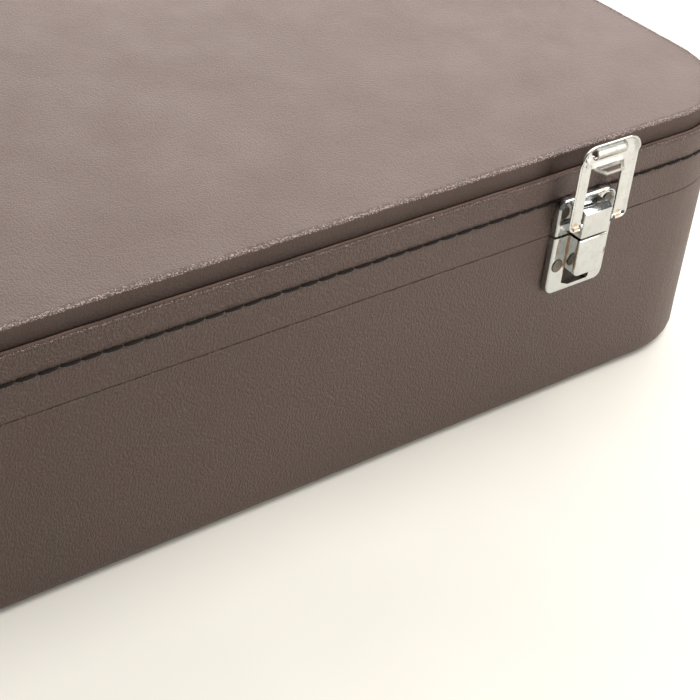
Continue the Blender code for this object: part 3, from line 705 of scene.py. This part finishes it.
def build_stitches():
    """Separate thread stitches, each a slightly flattened bead that dips in at its ends."""
    ring = plan_ring(0, BAND_SPACING)
    bm = bmesh.new()
    sides = 8
    radius, flatness = 0.46 * MM, 0.8
    end_sink, middle_rise = 0.34 * MM, 0.28 * MM
    cross = ((0.0, 0.5), (0.08, 0.85), (0.25, 1.0), (0.5, 1.03), (0.75, 1.0), (0.92, 0.85),
             (1.0, 0.5))
    for start, end in zip(STITCH_ENDS, STITCH_ENDS[1:]):
        first, last = ring[start], ring[end]
        tilt = random.uniform(-0.20, 0.28) * MM
        along = last - first
        side = Vector((along.y, -along.x)).normalized()
        loops = []
        for along_at, swell in cross:
            spot = first.lerp(last, 0.03 + 0.94 * along_at)
            sink = -end_sink + middle_rise * math.sin(math.pi * along_at) ** 0.5
            loop = []
            for turn in range(sides):
                angle = 2 * math.pi * turn / sides
                out = sink + radius * swell * math.cos(angle) * flatness
                up = radius * swell * math.sin(angle) + tilt * (along_at - 0.5)
                loop.append(bm.verts.new((spot.x + side.x * out, spot.y + side.y * out,
                                          SEAM_Z + up)))
            loops.append(loop)
        skin(bm, loops)
    finish_mesh(bm, "seam_stitches", [THREAD], "lid", ["lid_seam_thread"])


# ---- snap hasps
def hasp_place(centre_x):
    """Places (u, v, out), in millimetres from a hasp's centre line, the parting and the front."""
    def place(u, v, out):
        return Vector((centre_x + u * MM, FRONT_Y - out * MM, PARTING + v * MM))
    return place


def paint_hasp(piece, place, dirt_and_reflection):
    """Paints the mask for dirt and painted reflection, which depends on (distance from the centre
    line, height, how far out).
    """
    middle = place(0, 0, 0)
    paint(piece, "dirt_and_reflection", lambda point: dirt_and_reflection(abs(point.x - middle.x) / MM,
                                              (point.z - middle.z) / MM,
                                              (middle.y - point.y) / MM))


def corner_square(u, v, half, low, high, low_radius, high_radius):
    """Rounds the corners of a rectangle's grid, so that lines near its edge follow the corner."""
    for radius, edge, sign in ((high_radius, high, 1), (low_radius, low, -1)):
        over_u = abs(u) - (half - radius)
        over_v = sign * (v - edge) + radius
        if radius > 0 and over_u > 0 and over_v > 0:
            reach = max(over_u, over_v) / math.hypot(over_u, over_v)
            u = math.copysign(half - radius + over_u * reach, u)
            v = edge - sign * radius + sign * over_v * reach
    return u, v


def mirrored(values):
    """The values and their opposites, in order."""
    return sorted({-value for value in values} | set(values))


def smooth_step(value, start, end):
    """0 before start, 1 after end and a smooth rise between them."""
    part = min(1.0, max(0.0, (value - start) / (end - start)))
    return part * part * (3 - 2 * part)


PLATE_HALF = 11.0
BLOCK_HALF = 5.4
BLOCK_OUT = 6.4
SLOT_FLOOR = 0.2
PIVOT_V, PIVOT_OUT, EAR_U = 4.6, 5.1, 5.5
PLATE_SHARP, LOOP_SHARP = 32, 40
MIDDLE_LINES = [0, 2.7, 5.4, 6.3, 7.2]
EDGE_STEPS = (0.0, 0.08, 0.25, 0.5, 0.8, 1.05, 1.25, 1.5, 1.8, 2.6)
ROLLED = ((0.0, 0.8), (0.08, 1.35), (0.25, 1.9), (0.5, 2.2), (0.8, 2.18), (1.05, 1.9),
          (1.25, 1.5), (1.5, 1.24), (1.8, 1.2))
FLAT_BORDER = ((0.0, 1.5), (0.08, 1.85), (0.25, 2.1), (0.5, 2.2))


def add_plate(bm, place, low, high, low_radius, high_radius, front, us, vs):
    """One pressed plate as a relief grid over a rectangle with rounded corners."""
    def spot(u, v, out):
        return place(*corner_square(u, v, PLATE_HALF, low, high, low_radius, high_radius), out)

    relief(bm, us, vs, spot, front)


def offset_outline(outline, inset):
    """Moves a closed 2-D outline, which runs anticlockwise, inwards."""
    moved = []
    for index, here in enumerate(outline):
        before = Vector(outline[index - 1])
        after = Vector(outline[(index + 1) % len(outline)])
        first = (Vector(here) - before).normalized()
        second = (after - Vector(here)).normalized()
        normal = Vector((-first.y - second.y, first.x + second.x))
        moved.append(Vector(here) + normal * (2 * inset / normal.length_squared))
    return moved


def add_stack(bm, outline, layers, spot):
    """A solid through copies of an outline; layers are (position, inset of the outline)."""
    rings = []
    for position, inset in layers:
        rings.append([bm.verts.new(spot(p.x, p.y, position))
                      for p in offset_outline(outline, inset)])
    skin(bm, rings)


def rounded_end(position, radius, towards):
    """Layers for add_stack that round off an end lying at position."""
    layers = []
    for step in range(5):
        angle = math.radians(90 * step / 4)
        layers.append((position + towards * radius * (1 - math.cos(angle)),
                       radius * (1 - math.sin(angle))))
    return layers


def build_lid_plate(side, place):
    """Upper plate: rolled rim and sunk field at the top, flat foot, block with a sloping top."""
    low, high = 0.3, 11.4

    def front(u, v):
        inset = min(PLATE_HALF - abs(u), high - v)
        flat = curve_through(FLAT_BORDER, PLATE_HALF - abs(u)) - softened(v - low, 0.3, 0.3)
        sunk = curve_through(ROLLED, inset)
        return flat + (sunk - flat) * smooth_step(v, 3.7, 4.8)

    us = mirrored([PLATE_HALF - step for step in EDGE_STEPS] + MIDDLE_LINES)
    vs = sorted({high - step for step in EDGE_STEPS}
                | {low, 0.35, 0.45, 0.7, 2.0, 3.4, 3.7, 3.9, 4.1, 4.3, 4.5, 4.8, 5.3, 6.5, 7.7})
    bm = bmesh.new()
    add_plate(bm, place, low, high, 0.0, 3.5, front, us, vs)
    section = ((0.3, 0.3), (8.6, 0.3), (9.0, 2.8), (9.2, 4.3), (9.28, 4.75), (9.2, 5.15),
               (8.4, 5.95), (8.22, 6.2), (8.05, 6.35), (7.85, BLOCK_OUT), (0.65, BLOCK_OUT),
               (0.4, 6.3), (0.3, 6.05), (0.3, 3.3), (0.3, 2.2))
    layers = rounded_end(-BLOCK_HALF, 0.45, 1)
    layers += rounded_end(BLOCK_HALF, 0.45, -1)[::-1]
    add_stack(bm, section, layers, lambda v, out, u: place(u, v, out))
    piece = finish_mesh(bm, f"lid_plate_chrome_{side}", [CHROME], "lid",
                        [f"lid_plate_{side}"], PLATE_SHARP)
    paint_corner_dirt_and_reflection(piece, place)


def build_keeper_plate(side, place):
    """Lower plate: flat, slotted for the spring's tip, with a block that ends in a round nose."""
    low, high = -19.0, -0.3
    nose, nose_v = 2.1, -10.2

    def front(u, v):
        inset = min(PLATE_HALF - abs(u), v - low)
        return curve_through(FLAT_BORDER, inset) - softened(high - v, 0.3, 0.3)

    us = mirrored([PLATE_HALF - step for step in (0.0, 0.08, 0.25, 0.5, 1.4, 2.4)]
                  + MIDDLE_LINES)
    vs = sorted({low + step for step in (0.0, 0.08, 0.25, 0.5, 1.2, 3.0)}
                | {high, -0.35, -0.45, -0.7, -2, -5, -8, -10, -12, -14})
    bm = bmesh.new()
    add_plate(bm, place, low, high, 2.8, 0.0, front, us, vs)
    plate = finish_mesh(bm, f"keeper_plate_chrome_{side}", [CHROME, SLOT_SHADE], "base",
                        [f"keeper_plate_{side}"], PLATE_SHARP)
    slot = ((-5.3, -11.0), (-5.3, -16.2), (-2.4, -17.5), (4.9, -17.5), (5.5, -16.9), (5.5, -11.0))
    cut_from(plate, place, slot, SLOT_FLOOR, 4.0)
    # The slot keeps a thin floor, coloured near-black as painted shade for the hole.
    floor_y = place(0, 0, SLOT_FLOOR).y
    for face in plate.data.polygons:
        if all(abs(plate.data.vertices[i].co.y - floor_y) < 0.01 * MM for i in face.vertices):
            face.material_index = 1

    outline = [(BLOCK_HALF, high), (-BLOCK_HALF, high)]
    for start, centre_u in ((180, nose - BLOCK_HALF), (270, BLOCK_HALF - nose)):
        outline += arc_profile((centre_u, nose_v), nose, start, start + 90, 5)
    layers = [(SLOT_FLOOR, 0.0), (2.2, 0.0), (3.3, 0.0)] + rounded_end(BLOCK_OUT, 0.5, -1)[::-1]
    add_shells(plate, lambda bm: add_stack(bm, outline, layers, place), PLATE_SHARP)
    paint_corner_dirt_and_reflection(plate, place)


def paint_corner_dirt_and_reflection(piece, place):
    """Paints tan into the corner between a plate and its block: partly dirt, partly a painted
    reflection of the brown leather.
    """
    slot_end = (-13.6, -11.8)
    on_plate, on_block_face = 2.6, 5.8

    def dirt_and_reflection(u, v, out):
        across = abs(u - BLOCK_HALF)
        beside = smooth_step(v, *slot_end)
        if out < on_plate:
            return beside * max(0.0, 1 - across / 0.9) * (1 if out > 1.9 else 0.5)
        if out > on_block_face:
            return 0.55 * beside if across < 0.15 else 0.0
        return beside * max(0.0, 1 - (out - 2.2) / 1.1) if across < 0.2 else 0.0

    paint_hasp(piece, place, dirt_and_reflection)


LOOP_HALF = 11.1
LOOP_LOW, LOOP_HIGH = 3.7, 30.3
WINDOW_HALF, WINDOW_HIGH = 6.3, 22.7


def loop_stations():
    """Outer outline of a hasp loop, with the inward direction and the matching inner-edge point."""
    corner, foot = 5.0, 2.4
    stations = []

    def add(u, v, normal_angle, inner):
        angle = math.radians(normal_angle)
        stations.append(((u, v), (math.cos(angle), math.sin(angle)), inner))

    inner_low = (-WINDOW_HALF, LOOP_LOW + 1.1)
    for u in (-6.9, -7.5, -8.1):
        add(u, LOOP_LOW, 90, inner_low)
    foot_arc = arc_profile((-LOOP_HALF + foot, LOOP_LOW + foot), foot, 270, 180, 9)
    for step, (u, v) in enumerate(foot_arc):
        add(u, v, 450 - 10 * step, inner_low)
    rise = LOOP_HIGH - corner - LOOP_LOW - foot
    for step in range(1, 20):
        v = LOOP_LOW + foot + rise * step / 20
        add(-LOOP_HALF, v, 0, (-WINDOW_HALF, max(inner_low[1], min(v, WINDOW_HIGH))))
    head_arc = arc_profile((-LOOP_HALF + corner, LOOP_HIGH - corner), corner, 180, 90, 10)
    for step, (u, v) in enumerate(head_arc):
        add(u, v, 360 - 9 * step, (-WINDOW_HALF, WINDOW_HIGH))
    for step in range(1, 8):
        u = -LOOP_HALF + corner + (LOOP_HALF - corner) * step / 8
        add(u, LOOP_HIGH, 270, (-WINDOW_HALF + WINDOW_HALF * step / 8, WINDOW_HIGH))
    left = list(stations)
    add(0, LOOP_HIGH, 270, (0, WINDOW_HIGH))
    for (spot, normal, inner) in reversed(left):
        stations.append(((-spot[0], spot[1]), (-normal[0], normal[1]), (-inner[0], inner[1])))
    return stations


RIM = ((0.0, 0.84), (0.08, 0.96), (0.25, 1.0), (0.45, 0.93), (0.75, 0.64), (1.05, 0.3),
       (1.35, 0.08), (1.7, 0.0))
RIM_CREST, RIM_WIDTH, FIELD_INSET = 0.25, 1.7, 9.0
RIM_BACK = ((1.5, 0.0), (1.0, 0.06), (0.5, 0.38), (0.1, 0.68))
WEB_BACK = 5.4


def loop_height(u, v, inset):
    """How far out the loop's face stands: a flared rim, strongest round the head, on a field."""
    head = smooth_step(v, 24.4, 26.2)
    foot = 1 - smooth_step(v, 4.6, 7.6)
    gain = 0.42 + 0.78 * head + 0.4 * foot
    field = 6.12 - 0.2 * head - 0.2 * foot
    crease = 0.0
    if u < 0:
        crease = (1 - smooth_step(v, 26.2, 27.2)) * smooth_step(v, 22.6, 23.2)
        crease *= max(0.0, 1 - abs(inset - 3.2) / 0.4) * 0.5
    return field + gain * curve_through(RIM, inset) - crease


def build_loop(side, place):
    """The stamped loop: web, flared rim round the outside, ears on the pivot pin."""
    bm = bmesh.new()
    rows = []
    for (u, v), (in_u, in_v), (edge_u, edge_v) in loop_stations():
        row = []
        for inset, lift in RIM_BACK:
            at_u, at_v = u + in_u * inset, v + in_v * inset
            crest = loop_height(at_u, at_v, RIM_CREST)
            row.append((at_u, at_v, WEB_BACK + lift * (crest - WEB_BACK)))
        for inset, _ in RIM:
            at_u, at_v = u + in_u * inset, v + in_v * inset
            row.append((at_u, at_v, loop_height(at_u, at_v, inset)))
        span = math.hypot(edge_u - u, edge_v - v)
        lip = 0.3 if v > 25 and abs(edge_u) < 6.2 else 0.0
        for part in (0.0, 0.26, 0.36, 0.46, 0.6, 0.8, 0.9):
            at_u = u + in_u * RIM_WIDTH + (edge_u - u - in_u * RIM_WIDTH) * part
            at_v = v + in_v * RIM_WIDTH + (edge_v - v - in_v * RIM_WIDTH) * part
            height = loop_height(at_u, at_v, RIM_WIDTH + (span - RIM_WIDTH) * part)
            row.append((at_u, at_v, height + (lip if part == 0.9 else 0)))
        face = loop_height(edge_u, edge_v, FIELD_INSET) + lip
        away = Vector((edge_u - u, edge_v - v)).normalized() * 0.1
        row += [(edge_u - away.x, edge_v - away.y, face), (edge_u, edge_v, face - 0.12),
                (edge_u, edge_v, WEB_BACK + 0.1), (edge_u - away.x, edge_v - away.y, WEB_BACK)]
        rows.append([bm.verts.new(place(*spot)) for spot in row])
    skin(bm, rows)
    bmesh.ops.remove_doubles(bm, verts=bm.verts, dist=0.01 * MM)
    bmesh.ops.dissolve_degenerate(bm, edges=bm.edges, dist=0.01 * MM)
    loop = finish_mesh(bm, f"hasp_loop_chrome_{side}", [CHROME_LOOP], f"hasp_{side}",
                       [f"hasp_loop_{side}"], LOOP_SHARP)
    slit = ((-5.7, 25.2), (5.7, 25.2), (5.7, 28.1), (-5.7, 28.1), (-6.6, 28.1),
            (-7.0, 27.4), (-6.6, 26.6), (-5.7, 26.4))
    cut_from(loop, place, slit, 4.0, 8.0)

    def ears(bm):
        ear = ((0, 0), (1.05, 0), (1.25, 0.1), (1.25, 0.75), (1.1, 0.85), (0, 0.85))
        for sign in (-1, 1):
            root = place(EAR_U * sign, PIVOT_V, PIVOT_OUT)
            lathe(bm, [(r * MM, a * MM) for r, a in ear], root, Vector((sign, 0, 0)), steps=24)

    # Tan painted on the lower ends of the arms, near the pivot.
    def dirt_and_reflection(u, v, out):
        arm_middle, reach = 8.2, 2.2
        return (1 - smooth_step(v, 5.0, 8.0)) * max(0.0, 1 - abs(u - arm_middle) / reach)

    add_shells(loop, ears, LOOP_SHARP)
    paint_hasp(loop, place, dirt_and_reflection)


def softened(distance, radius, drop):
    """How far a surface falls away near an edge that is rounded by radius."""
    if distance >= radius:
        return 0.0
    part = 1 - max(distance, 0.0) / radius
    return drop * (1 - math.sqrt(max(0.0, 1 - part * part)))


def sheet_strip(bm, place, line, thickness):
    """A bent strip: line holds (v, out, half width, dish) along its inner face.

    The sheet lies outside the line, and dish is how deep its middle is pressed in.
    """
    soft, border, slope = 0.06, 1.3, 0.4
    rows = []
    for index, (v, out, half, dish) in enumerate(line):
        before = Vector(line[max(index - 1, 0)][:2])
        after = Vector(line[min(index + 1, len(line) - 1)][:2])
        run = (after - before).normalized()
        outside = ((0, thickness - soft), (2 * soft, thickness), (border, thickness),
                   (border + slope, thickness - dish), (half, thickness - dish))
        right = [(half - inset, height) for inset, height in outside]
        ring = [(-half, 0), (0, 0), (half, 0)] + right
        ring += [(-u, height) for u, height in reversed(right[:-1])]
        rows.append([bm.verts.new(place(u, v + run.y * height, out - run.x * height))
                     for u, height in ring])
    skin(bm, rows)


def build_spring(side, place):
    """The spring: a rolled bar in the head, a run behind the web and a dished tongue."""
    bm = bmesh.new()
    line = [(28.2, 5.3, 5.55), (28.15, 6.05, 5.6), (27.95, 6.5, 5.6), (27.45, 6.8, 5.6),
            (26.8, 6.84, 5.6), (26.15, 6.66, 5.6), (25.7, 6.3, 5.6), (25.45, 5.7, 5.6),
            (25.3, 5.1, 5.6), (24.8, 4.95, 5.6), (23.4, 4.9, 5.6), (22.75, 5.15, 5.6),
            (22.45, 5.8, 5.6), (22.2, 6.7, 5.4)]
    line = [(v, out, half, 0.0) for v, out, half in line]
    line += [(22.11, 7.1, 5.1, 0.3), (21.98, 7.7, 4.7, 0.3), (21.84, 8.3, 4.05, 0.3),
             (21.76, 8.65, 3.8, 0.0), (21.66, 9.05, 3.5, 0.0), (21.62, 9.2, 3.4, 0.0)]
    sheet_strip(bm, place, line, thickness=0.42)
    spring = finish_mesh(bm, f"hasp_spring_steel_{side}", [SPRING], f"hasp_{side}",
                         [f"hasp_spring_{side}"], sharp=30)

    # Painted dark reflection in the middle of the tongue's upper face.
    def dirt_and_reflection(u, v, out):
        if v > 24 or not 6.9 < out < 8.5:
            return 0.0
        return 1.0 if u < 3.5 - 0.7 * (out - 7.1) else 0.3

    paint_hasp(spring, place, dirt_and_reflection)


def build_rivets(side, place):
    """Dished rivet heads on the plates, each on the body of its plate."""
    heads = (("lid_plate_rivet", "lid", 7.0, 1.32), ("keeper_rivet", "base", -9.6, 2.34))
    across = 8.3
    profile = ((0, -1.1), (1.0, -1.1), (1.0, -0.2), (1.85, -0.2), (2.0, 0.0), (1.96, 0.12),
               (1.8, 0.2), (1.5, 0.17), (1.15, 0.08), (0.6, 0.02), (0, 0.0))
    for stem, body, height, seat in heads:
        for number, u in ((1, -across), (2, across)):
            bm = bmesh.new()
            lathe(bm, [(r * MM, a * MM) for r, a in profile], place(u, height, seat),
                  Vector((0, -1, 0)))
            finish_mesh(bm, f"{stem}_head_{side}_{number}", [RIVET], body,
                        [f"{stem}_{side}_{number}"], sharp=50)


def cut_from(piece, place, outline, near, far):
    """Cuts an opening with the given outline through a piece and applies the cut."""
    bm = bmesh.new()
    add_stack(bm, outline, ((near, 0.0), (far, 0.0)), place)
    bmesh.ops.recalc_face_normals(bm, faces=bm.faces)
    mesh = mesh_from(bm, "cutter")
    cutter = in_scene("cutter", mesh)
    modifier = piece.modifiers.new("opening", "BOOLEAN")
    modifier.object = cutter
    modifier.operation = "DIFFERENCE"
    modifier.solver = "EXACT"
    graph = bpy.context.evaluated_depsgraph_get()
    result = bpy.data.meshes.new_from_object(piece.evaluated_get(graph), depsgraph=graph)
    piece.modifiers.remove(modifier)
    old = piece.data
    piece.data = result
    bpy.data.meshes.remove(old)
    bpy.data.objects.remove(cutter)
    bpy.data.meshes.remove(mesh)


def build_latch(side):
    """One snap hasp, in line with its lid plate."""
    low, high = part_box(f"lid_plate_{side}")
    place = hasp_place((low.x + high.x) / 2)
    build_lid_plate(side, place)
    build_keeper_plate(side, place)
    build_loop(side, place)
    build_spring(side, place)
    build_rivets(side, place)


# ---- CAD nodes that stay
def dress(names, material, bevel=0.0):
    """Gives CAD nodes their material and, with a bevel, softened edges."""
    for name in names:
        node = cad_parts[name]
        node.data.materials.clear()
        node.data.materials.append(material)
        if bevel:
            modifier = node.modifiers.new("soft_edge", "BEVEL")
            modifier.width = bevel
            modifier.segments = 2
            modifier.limit_method = "ANGLE"
            modifier.angle_limit = math.radians(35)
            modifier.harden_normals = True


def dress_frame():
    """Materials for the tray, the liners, the hinges and the pins."""
    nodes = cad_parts
    dress(["tray_wall_front", "tray_wall_back", "tray_floor"], WOOD_X, 0.3 * MM)
    dress(["tray_wall_left", "tray_wall_right"], WOOD_Y, 0.3 * MM)
    dress([name for name in nodes if name.startswith("divider_long")], WOOD_X, 0.25 * MM)
    dress([name for name in nodes if name.startswith("divider_cross")], WOOD_Y, 0.25 * MM)
    dress(["base_liner", "lid_liner"], LINER, 0.25 * MM)
    dress([name for name in nodes if name.startswith("hinge")], HINGE)
    dress([f"hasp_pin_{side}" for side in SIDES], RIVET)


# ---- stage, light and camera
def build_floor():
    """A wide table just below the case."""
    bm = bmesh.new()
    bmesh.ops.create_grid(bm, x_segments=8, y_segments=8, size=6.0)
    floor = in_scene("floor", mesh_from(bm, "floor"))
    floor.data.materials.append(floor_paper("floor_paper"))
    floor.location.z = -0.1 * MM


def add_softbox(name, place, target, size, power, colour):
    """A rectangular lamp at place that faces target."""
    light = bpy.data.lights.new(name, "AREA")
    light.shape = "RECTANGLE"
    light.size, light.size_y = size
    light.energy = power
    light.color = colour
    lamp = in_scene(name, light)
    lamp.location = place
    lamp.rotation_mode = "QUATERNION"
    lamp.rotation_quaternion = (Vector(target) - Vector(place)).to_track_quat("-Z", "Y")


def build_light():
    """Soft room light, a lamp overhead, a wide window behind and a weak fill from the side."""
    world = bpy.data.worlds.new("studio")
    world.use_nodes = True
    room = world.node_tree.nodes["Background"]
    room.inputs["Color"].default_value = (0.97, 0.98, 0.98, 1)
    room.inputs["Strength"].default_value = 0.22
    bpy.context.scene.world = world
    add_softbox("overhead", (0.85, -0.35, 1.6), (0.1, 0, 0), (1.5, 1.5), 34.5, (1.0, 0.975, 0.965))
    add_softbox("window_back", (1.3, 1.7, 1.0), (0.0, 0, 0.05), (3.0, 1.7), 56,
                (1.0, 0.89, 0.855))
    add_softbox("side_fill", (0.55, -0.95, 0.25), (0.15, -0.14, 0.04), (0.5, 0.5), 5.2,
                (1.0, 0.99, 0.97))
    bpy.context.scene.view_settings.view_transform = "Standard"


def build_camera():
    """Close, from the front left and above, turned so that the case's front runs up to the right."""
    reach = 0.300
    place = Vector((BASE_HIGH.x - 1.41767 * reach, FRONT_Y - reach, PARTING + 0.87249 * reach))
    right = Vector((0.78320, -0.61358, 0.10055))
    up = Vector((0.28499, 0.49799, 0.81901))
    data = bpy.data.cameras.new("camera")
    data.lens = 96.46
    data.sensor_width = 36
    data.clip_start = 0.01
    camera = in_scene("camera", data)
    back = right.cross(up)
    turn = Matrix((right, up, back)).transposed()
    camera.matrix_world = Matrix.Translation(place) @ turn.to_4x4()
    bpy.context.scene.camera = camera


build_base_cover()
build_lid_band()
build_lid_top()
build_stitches()
for latch_side in SIDES:
    build_latch(latch_side)
dress_frame()
build_floor()
build_light()
build_camera()
